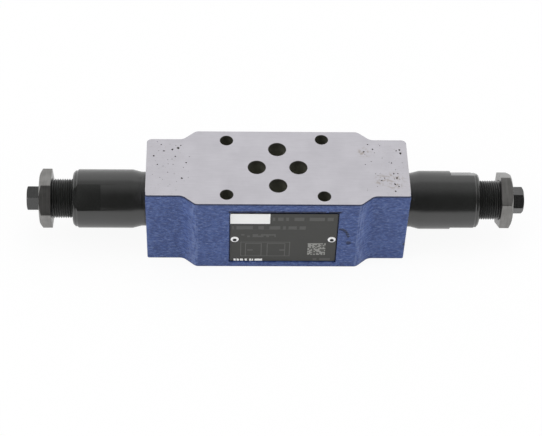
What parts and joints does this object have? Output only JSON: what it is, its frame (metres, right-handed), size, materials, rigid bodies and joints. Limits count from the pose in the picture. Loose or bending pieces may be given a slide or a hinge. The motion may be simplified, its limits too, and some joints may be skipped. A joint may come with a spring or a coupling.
{
  "type": "hydraulic sandwich valve",
  "caption": "Block-shaped stacking valve with oil ports and screw holes through it and an adjustable pressure-relief cartridge with lock nut at each end.",
  "frame": {"origin": "below the middle of ports A and B, on the lower mounting face", "axes": "+X along the cartridges towards the B side, +Y towards port P, away from the name plate, +Z from the lower to the upper mounting face"},
  "size_m": [0.2122, 0.0423, 0.04],
  "materials": {
    "body_casting": "sand-cast sides with blue paint, machined bare faces",
    "plate": "dark anodised, printed",
    "rivet": "bright",
    "seal": "matt",
    "barrel": "satin black oxide",
    "inner_steel": "ground",
    "spring": "bright wire",
    "screw": "black oxide",
    "nut": "dark turned steel"
  },
  "bodies": {
    "housing": {"valve_body": "body_casting", "nameplate": "plate", "nameplate_rivets": "rivet", "port_seal_p": "seal", "port_seal_t": "seal", "port_seal_a": "seal", "port_seal_b": "seal", "left_barrel": "barrel", "left_barrel_seal": "seal", "left_spool_sleeve": "inner_steel", "left_sleeve_seal": "seal", "left_pilot_seat": "inner_steel", "left_main_spring": "spring", "left_pilot_spring": "spring", "right_barrel": "barrel", "right_barrel_seal": "seal", "right_spool_sleeve": "inner_steel", "right_sleeve_seal": "seal", "right_pilot_seat": "inner_steel", "right_main_spring": "spring", "right_pilot_spring": "spring"},
    "left_main_spool": {"left_main_spool": "inner_steel"},
    "left_pilot_poppet": {"left_pilot_poppet": "inner_steel"},
    "left_spring_plate": {"left_spring_plate": "inner_steel", "left_spring_plate_seal": "seal"},
    "left_adjusting_screw": {"left_adjusting_screw": "screw"},
    "left_lock_nut": {"left_lock_nut": "nut"},
    "right_main_spool": {"right_main_spool": "inner_steel"},
    "right_pilot_poppet": {"right_pilot_poppet": "inner_steel"},
    "right_spring_plate": {"right_spring_plate": "inner_steel", "right_spring_plate_seal": "seal"},
    "right_adjusting_screw": {"right_adjusting_screw": "screw"},
    "right_lock_nut": {"right_lock_nut": "nut"}
  },
  "joints": [
    {"name": "left_main_spool_slide", "type": "slide", "parent": "housing", "child": "left_main_spool", "axis": [-1, 0, 0], "range_m": [0, 0.004], "stiffness_N_per_m": 500, "springref_m": -0.004, "deforming": ["left_main_spring"]},
    {"name": "left_pilot_poppet_slide", "type": "slide", "parent": "housing", "child": "left_pilot_poppet", "axis": [-1, 0, 0], "range_m": [0, 0.0008], "stiffness_N_per_m": 2000, "springref_m": -0.001},
    {"name": "left_spring_plate_slide", "type": "slide", "parent": "housing", "child": "left_spring_plate", "axis": [1, 0, 0], "range_m": [0, 0.005], "deforming": ["left_pilot_spring"]},
    {"name": "left_adjusting_screw_turn", "type": "hinge", "parent": "left_spring_plate", "child": "left_adjusting_screw", "pos_m": [-0.0865, 0, 0.02], "axis": [1, 0, 0], "range_deg": [0, 1800]},
    {"name": "left_lock_nut_slide", "type": "slide", "parent": "left_adjusting_screw", "child": "left_lock_nut", "axis": [1, 0, 0], "range_m": [0, 0.004]},
    {"name": "right_main_spool_slide", "type": "slide", "parent": "housing", "child": "right_main_spool", "axis": [1, 0, 0], "range_m": [0, 0.004], "stiffness_N_per_m": 500, "springref_m": -0.004, "deforming": ["right_main_spring"]},
    {"name": "right_pilot_poppet_slide", "type": "slide", "parent": "housing", "child": "right_pilot_poppet", "axis": [1, 0, 0], "range_m": [0, 0.0008], "stiffness_N_per_m": 2000, "springref_m": -0.001},
    {"name": "right_spring_plate_slide", "type": "slide", "parent": "housing", "child": "right_spring_plate", "axis": [-1, 0, 0], "range_m": [0, 0.005], "deforming": ["right_pilot_spring"]},
    {"name": "right_adjusting_screw_turn", "type": "hinge", "parent": "right_spring_plate", "child": "right_adjusting_screw", "pos_m": [0.0865, 0, 0.02], "axis": [-1, 0, 0], "range_deg": [0, 1800]},
    {"name": "right_lock_nut_slide", "type": "slide", "parent": "right_adjusting_screw", "child": "right_lock_nut", "axis": [-1, 0, 0], "range_m": [0, 0.004]}
  ],
  "couplings": [
    {"joint": "left_adjusting_screw_turn", "follows": "left_spring_plate_slide", "rad_per_m": 6283.2},
    {"joint": "right_adjusting_screw_turn", "follows": "right_spring_plate_slide", "rad_per_m": 6283.2}
  ]
}
